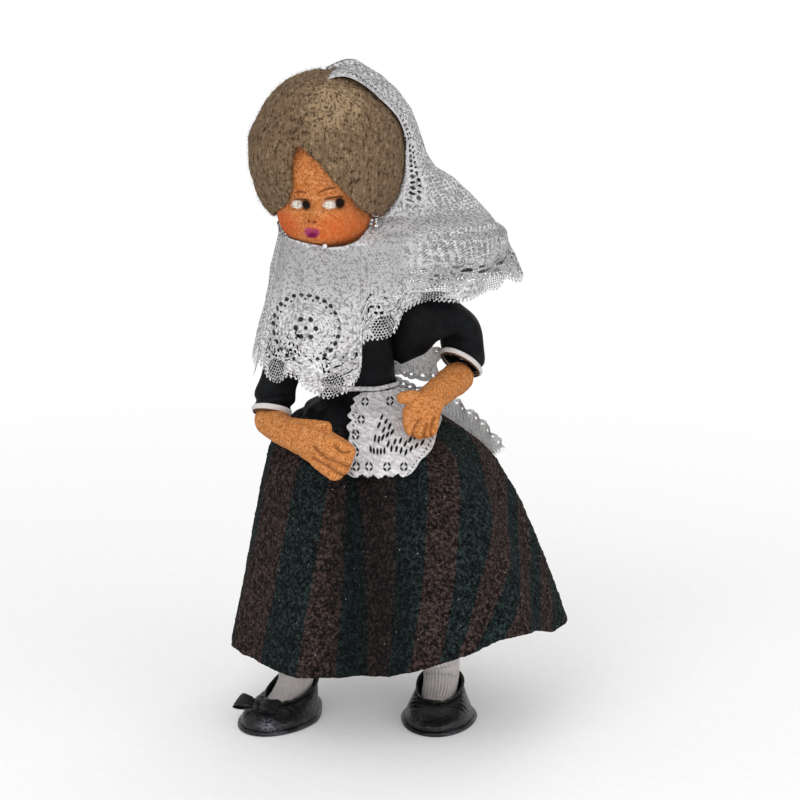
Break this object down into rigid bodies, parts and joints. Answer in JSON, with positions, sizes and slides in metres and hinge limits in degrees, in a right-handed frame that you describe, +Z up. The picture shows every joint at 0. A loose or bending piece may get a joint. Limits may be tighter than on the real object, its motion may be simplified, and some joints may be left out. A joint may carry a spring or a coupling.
{
  "type": "costume doll",
  "caption": "Standing felt costume doll with a wire armature, lace mantilla and apron, striped wool skirt, satin bodice and patent shoes; head, arms and legs bend at hinges.",
  "frame": {"origin": "on the standing surface, under the middle of the skirt hem", "axes": "+Z up, -Y the way the doll faces, +X the doll's left"},
  "size_m": [0.1285, 0.1295, 0.2538],
  "materials": {
    "body_felt": "matt pressed felt",
    "stuffing": "loose wadding",
    "face_felt": "pressed felt with painted features",
    "mohair": "brushed mohair, slightly glossy",
    "mantilla_lace": "white cotton lace",
    "apron_lace": "white cotton lace",
    "black_satin": "black satin, soft sheen",
    "white_trim": "white picot trim",
    "hand_felt": "matt felt, stitched",
    "striped_wool": "bouclé wool in green and brown stripes",
    "stiff_net": "stiffened net",
    "stocking_knit": "ribbed knit",
    "patent_black": "glossy black patent",
    "steel_wire": "drawn wire",
    "steel_plate": "cut sheet steel",
    "silver": "polished white metal",
    "pearl": "pearly bead"
  },
  "bodies": {
    "torso": {"torso": "body_felt", "torso_armature_wire": "steel_wire", "bodice": "black_satin", "skirt": "striped_wool", "petticoat": "stiff_net", "apron_panel": "apron_lace", "apron_waistband": "apron_lace", "apron_bow_knot": "apron_lace", "apron_bow_left_loop": "apron_lace", "apron_bow_right_loop": "apron_lace", "apron_bow_left_tail": "apron_lace", "apron_bow_right_tail": "apron_lace", "mantilla_cape": "mantilla_lace"},
    "head": {"head_stuffing": "stuffing", "face_mask": "face_felt", "head_back": "body_felt", "hair": "mohair", "mantilla_hood": "mantilla_lace", "mantilla_pin": "pearl", "earring_loop": "silver"},
    "earring": {"earring_drop": "silver"},
    "right_upper_arm": {"right_upper_arm": "body_felt", "right_upper_arm_wire": "steel_wire", "right_sleeve": "black_satin", "right_cuff": "white_trim"},
    "right_forearm": {"right_forearm_and_hand": "hand_felt", "right_forearm_wire": "steel_wire"},
    "right_thigh": {"right_thigh": "body_felt", "right_thigh_wire": "steel_wire"},
    "right_shin": {"right_shin": "body_felt", "right_shin_wire": "steel_wire", "right_stocking": "stocking_knit"},
    "right_foot": {"right_foot": "stocking_knit", "right_shoe_sole": "patent_black", "right_shoe_insole": "steel_plate", "right_shoe_upper": "patent_black", "right_shoe_bow": "patent_black"},
    "left_upper_arm": {"left_upper_arm": "body_felt", "left_upper_arm_wire": "steel_wire", "left_sleeve": "black_satin", "left_cuff": "white_trim"},
    "left_forearm": {"left_forearm_and_hand": "hand_felt", "left_forearm_wire": "steel_wire"},
    "left_thigh": {"left_thigh": "body_felt", "left_thigh_wire": "steel_wire"},
    "left_shin": {"left_shin": "body_felt", "left_shin_wire": "steel_wire", "left_stocking": "stocking_knit"},
    "left_foot": {"left_foot": "stocking_knit", "left_shoe_sole": "patent_black", "left_shoe_insole": "steel_plate", "left_shoe_upper": "patent_black"}
  },
  "joints": [
    {"name": "head_turn", "type": "hinge", "parent": "torso", "child": "head", "pos_m": [-0.0264, 0.003, 0.189], "axis": [0, 0, 1], "range_deg": [-25, 25]},
    {"name": "earring_swing", "type": "hinge", "parent": "head", "child": "earring", "pos_m": [-0.009, -0.01363, 0.1987], "axis": [1, 0, 0], "range_deg": [-15, 15]},
    {"name": "right_shoulder", "type": "hinge", "parent": "torso", "child": "right_upper_arm", "pos_m": [-0.0402, 0.004, 0.1584], "axis": [-1, 0, 0], "range_deg": [0, 12]},
    {"name": "right_elbow", "type": "hinge", "parent": "right_upper_arm", "child": "right_forearm", "pos_m": [-0.0495, -0.007, 0.119], "axis": [-0.8536, -0.4468, 0.2679], "range_deg": [0, 18], "deforming": ["right_cuff"]},
    {"name": "right_hip", "type": "hinge", "parent": "torso", "child": "right_thigh", "pos_m": [-0.025, 0.002, 0.095], "axis": [-1, 0, 0], "range_deg": [-20, 18]},
    {"name": "right_knee", "type": "hinge", "parent": "right_thigh", "child": "right_shin", "pos_m": [-0.033, 0.001, 0.057], "axis": [1, 0, 0], "range_deg": [0, 35]},
    {"name": "right_ankle", "type": "hinge", "parent": "right_shin", "child": "right_foot", "pos_m": [-0.0405, 0.001, 0.017], "axis": [-1, 0, 0], "range_deg": [-10, 10]},
    {"name": "left_shoulder", "type": "hinge", "parent": "torso", "child": "left_upper_arm", "pos_m": [0.0054, 0.004, 0.1584], "axis": [-1, 0, 0], "range_deg": [0, 25]},
    {"name": "left_elbow", "type": "hinge", "parent": "left_upper_arm", "child": "left_forearm", "pos_m": [0.0224, 0.0104, 0.1314], "axis": [-0.935, 0.331, 0.127], "range_deg": [0, 18], "deforming": ["left_cuff"]},
    {"name": "left_hip", "type": "hinge", "parent": "torso", "child": "left_thigh", "pos_m": [0, 0.002, 0.095], "axis": [-1, 0, 0], "range_deg": [-20, 18]},
    {"name": "left_knee", "type": "hinge", "parent": "left_thigh", "child": "left_shin", "pos_m": [0.009, 0.001, 0.057], "axis": [1, 0, 0], "range_deg": [0, 35]},
    {"name": "left_ankle", "type": "hinge", "parent": "left_shin", "child": "left_foot", "pos_m": [0.0163, 0.003, 0.017], "axis": [-1, 0, 0], "range_deg": [-10, 10]}
  ]
}
